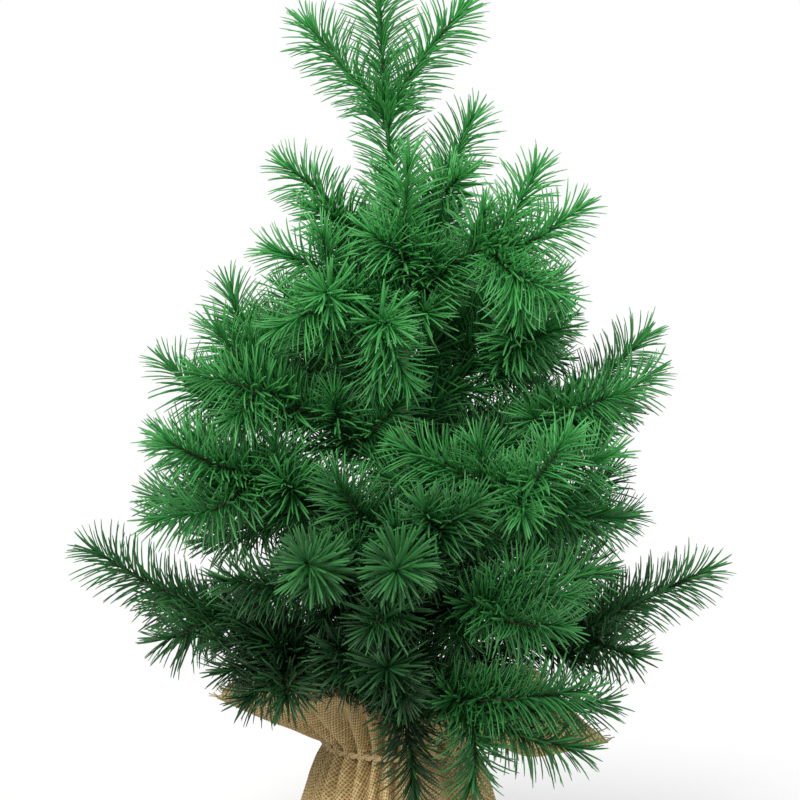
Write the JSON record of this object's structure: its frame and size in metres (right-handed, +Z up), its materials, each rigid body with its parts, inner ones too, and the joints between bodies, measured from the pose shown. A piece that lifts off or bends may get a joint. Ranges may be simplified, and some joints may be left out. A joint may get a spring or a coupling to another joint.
{
  "type": "artificial tabletop tree",
  "caption": "Artificial tabletop pine: bendable wire branches with moulded needle sprigs on a taped trunk, in a weighted base wrapped in gathered burlap.",
  "frame": {"origin": "middle of the underside of the burlap-wrapped base", "axes": "+Z up the trunk, -Y towards the side the tree is looked at from, +X to that viewer's right"},
  "size_m": [0.4016, 0.3516, 0.599],
  "materials": {
    "burlap": "coarse natural jute cloth with frayed edges",
    "jute_twine": "twisted twine",
    "base_plastic": "moulded, satin",
    "cement": "cast, rough",
    "steel_rod": "drawn wire rod",
    "trunk_tape": "paper tape wound in a helix",
    "branch_wire": "wire in green wrap",
    "needles": "moulded polyethylene, satin"
  },
  "bodies": {
    "base": {"burlap_wrap": "burlap", "base_cup": "base_plastic", "base_weight": "cement", "jute_tie": "jute_twine", "trunk_rod": "steel_rod", "trunk_wrap": "trunk_tape"},
    "leader": {"leader_wire": "branch_wire", "leader_sprigs": "needles"},
    "branch_01": {"branch_01_wire": "branch_wire", "branch_01_sprigs": "needles"},
    "branch_02": {"branch_02_wire": "branch_wire", "branch_02_sprigs": "needles"},
    "branch_03": {"branch_03_wire": "branch_wire", "branch_03_sprigs": "needles"},
    "branch_04": {"branch_04_wire": "branch_wire", "branch_04_sprigs": "needles"},
    "branch_05": {"branch_05_wire": "branch_wire", "branch_05_sprigs": "needles"},
    "branch_06": {"branch_06_wire": "branch_wire", "branch_06_sprigs": "needles"},
    "branch_07": {"branch_07_wire": "branch_wire", "branch_07_sprigs": "needles"},
    "branch_08": {"branch_08_wire": "branch_wire", "branch_08_sprigs": "needles"},
    "branch_09": {"branch_09_wire": "branch_wire", "branch_09_sprigs": "needles"},
    "branch_10": {"branch_10_wire": "branch_wire", "branch_10_sprigs": "needles"},
    "branch_11": {"branch_11_wire": "branch_wire", "branch_11_sprigs": "needles"},
    "branch_12": {"branch_12_wire": "branch_wire", "branch_12_sprigs": "needles"},
    "branch_13": {"branch_13_wire": "branch_wire", "branch_13_sprigs": "needles"},
    "branch_14": {"branch_14_wire": "branch_wire", "branch_14_sprigs": "needles"},
    "branch_15": {"branch_15_wire": "branch_wire", "branch_15_sprigs": "needles"},
    "branch_16": {"branch_16_wire": "branch_wire", "branch_16_sprigs": "needles"},
    "branch_17": {"branch_17_wire": "branch_wire", "branch_17_sprigs": "needles"},
    "branch_18": {"branch_18_wire": "branch_wire", "branch_18_sprigs": "needles"},
    "branch_19": {"branch_19_wire": "branch_wire", "branch_19_sprigs": "needles"},
    "branch_20": {"branch_20_wire": "branch_wire", "branch_20_sprigs": "needles"},
    "branch_21": {"branch_21_wire": "branch_wire", "branch_21_sprigs": "needles"},
    "branch_22": {"branch_22_wire": "branch_wire", "branch_22_sprigs": "needles"},
    "branch_23": {"branch_23_wire": "branch_wire", "branch_23_sprigs": "needles"},
    "branch_24": {"branch_24_wire": "branch_wire", "branch_24_sprigs": "needles"},
    "branch_25": {"branch_25_wire": "branch_wire", "branch_25_sprigs": "needles"},
    "branch_26": {"branch_26_wire": "branch_wire", "branch_26_sprigs": "needles"}
  },
  "joints": [
    {"name": "leader_bend", "type": "hinge", "parent": "base", "child": "leader", "pos_m": [0.003, 0, 0.3822], "axis": [0, 1, 0], "range_deg": [-14, 6]},
    {"name": "branch_01_bend", "type": "hinge", "parent": "base", "child": "branch_01", "pos_m": [-0.00174, 0.00089, 0.374], "axis": [0.1843, 0.9829, 0], "range_deg": [-20, 16]},
    {"name": "branch_02_bend", "type": "hinge", "parent": "base", "child": "branch_02", "pos_m": [0.00672, 0.00306, 0.376], "axis": [0.6357, -0.7719, 0], "range_deg": [-20, 8]},
    {"name": "branch_03_bend", "type": "hinge", "parent": "base", "child": "branch_03", "pos_m": [0.003, -0.00487, 0.363], "axis": [-1, 0, 0], "range_deg": [-12, 14]},
    {"name": "branch_04_bend", "type": "hinge", "parent": "base", "child": "branch_04", "pos_m": [0.00647, -0.00347, 0.355], "axis": [-0.7071, -0.7071, 0], "range_deg": [-20, 20]},
    {"name": "branch_05_bend", "type": "hinge", "parent": "base", "child": "branch_05", "pos_m": [-0.00069, -0.00329, 0.345], "axis": [-0.666, 0.7459, 0], "range_deg": [-20, 10]},
    {"name": "branch_06_bend", "type": "hinge", "parent": "base", "child": "branch_06", "pos_m": [-0.00102, 0.00316, 0.306], "axis": [0.6178, 0.7863, 0], "range_deg": [-14, 20]},
    {"name": "branch_07_bend", "type": "hinge", "parent": "base", "child": "branch_07", "pos_m": [-0.00173, -0.00236, 0.264], "axis": [-0.4472, 0.8944, 0], "range_deg": [-6, 16]},
    {"name": "branch_08_bend", "type": "hinge", "parent": "base", "child": "branch_08", "pos_m": [-0.00183, -0.00296, 0.22], "axis": [-0.5222, 0.8529, 0], "range_deg": [-12, 4]},
    {"name": "branch_09_bend", "type": "hinge", "parent": "base", "child": "branch_09", "pos_m": [-0.00571, -0.00228, 0.156], "axis": [-0.2537, 0.9673, 0], "range_deg": [-8, 8]},
    {"name": "branch_10_bend", "type": "hinge", "parent": "base", "child": "branch_10", "pos_m": [0.00018, -0.00605, 0.188], "axis": [-0.9062, 0.4229, 0], "range_deg": [-4, 8]},
    {"name": "branch_11_bend", "type": "hinge", "parent": "base", "child": "branch_11", "pos_m": [0.00311, -0.0059, 0.203], "axis": [-0.9998, -0.0182, 0], "range_deg": [-8, 16]},
    {"name": "branch_12_bend", "type": "hinge", "parent": "base", "child": "branch_12", "pos_m": [0.00213, -0.00983, 0.14], "axis": [-0.9961, 0.0885, 0], "range_deg": [-6, 5]},
    {"name": "branch_13_bend", "type": "hinge", "parent": "base", "child": "branch_13", "pos_m": [0.00722, 0.00302, 0.286], "axis": [0.5812, -0.8137, 0], "range_deg": [-20, 10]},
    {"name": "branch_14_bend", "type": "hinge", "parent": "base", "child": "branch_14", "pos_m": [0.00813, 0.00153, 0.254], "axis": [0.2855, -0.9584, 0], "range_deg": [-20, 18]},
    {"name": "branch_15_bend", "type": "hinge", "parent": "base", "child": "branch_15", "pos_m": [0.00692, -0.00404, 0.224], "axis": [-0.7176, -0.6965, 0], "range_deg": [-16, 16]},
    {"name": "branch_16_bend", "type": "hinge", "parent": "base", "child": "branch_16", "pos_m": [0.00596, -0.00677, 0.174], "axis": [-0.9162, -0.4008, 0], "range_deg": [-8, 12]},
    {"name": "branch_17_bend", "type": "hinge", "parent": "base", "child": "branch_17", "pos_m": [0.01259, -0.00209, 0.146], "axis": [-0.2124, -0.9772, 0], "range_deg": [-20, 12]},
    {"name": "branch_18_bend", "type": "hinge", "parent": "base", "child": "branch_18", "pos_m": [0.00585, -0.00949, 0.136], "axis": [-0.9578, -0.2873, 0], "range_deg": [-6, 10]},
    {"name": "branch_19_bend", "type": "hinge", "parent": "base", "child": "branch_19", "pos_m": [-0.00416, -0.00676, 0.143], "axis": [-0.6866, 0.727, 0], "range_deg": [-4, 16]},
    {"name": "branch_20_bend", "type": "hinge", "parent": "base", "child": "branch_20", "pos_m": [0.00189, 0.00476, 0.358], "axis": [0.9738, 0.2272, 0], "range_deg": [-20, 20]},
    {"name": "branch_21_bend", "type": "hinge", "parent": "base", "child": "branch_21", "pos_m": [0.00639, 0.00372, 0.325], "axis": [0.739, -0.6737, 0], "range_deg": [-12, 20]},
    {"name": "branch_22_bend", "type": "hinge", "parent": "base", "child": "branch_22", "pos_m": [-0.00035, 0.00395, 0.288], "axis": [0.7628, 0.6467, 0], "range_deg": [-20, 18]},
    {"name": "branch_23_bend", "type": "hinge", "parent": "base", "child": "branch_23", "pos_m": [0.00471, 0.00505, 0.256], "axis": [0.947, -0.3213, 0], "range_deg": [-20, 18]},
    {"name": "branch_24_bend", "type": "hinge", "parent": "base", "child": "branch_24", "pos_m": [-0.00123, 0.00393, 0.208], "axis": [0.6811, 0.7322, 0], "range_deg": [-18, 20]},
    {"name": "branch_25_bend", "type": "hinge", "parent": "base", "child": "branch_25", "pos_m": [0.00835, 0.00382, 0.19], "axis": [0.5812, -0.8137, 0], "range_deg": [-10, 20]},
    {"name": "branch_26_bend", "type": "hinge", "parent": "base", "child": "branch_26", "pos_m": [0.00135, 0.00824, 0.162], "axis": [0.9806, 0.1961, 0], "range_deg": [-20, 18]}
  ]
}
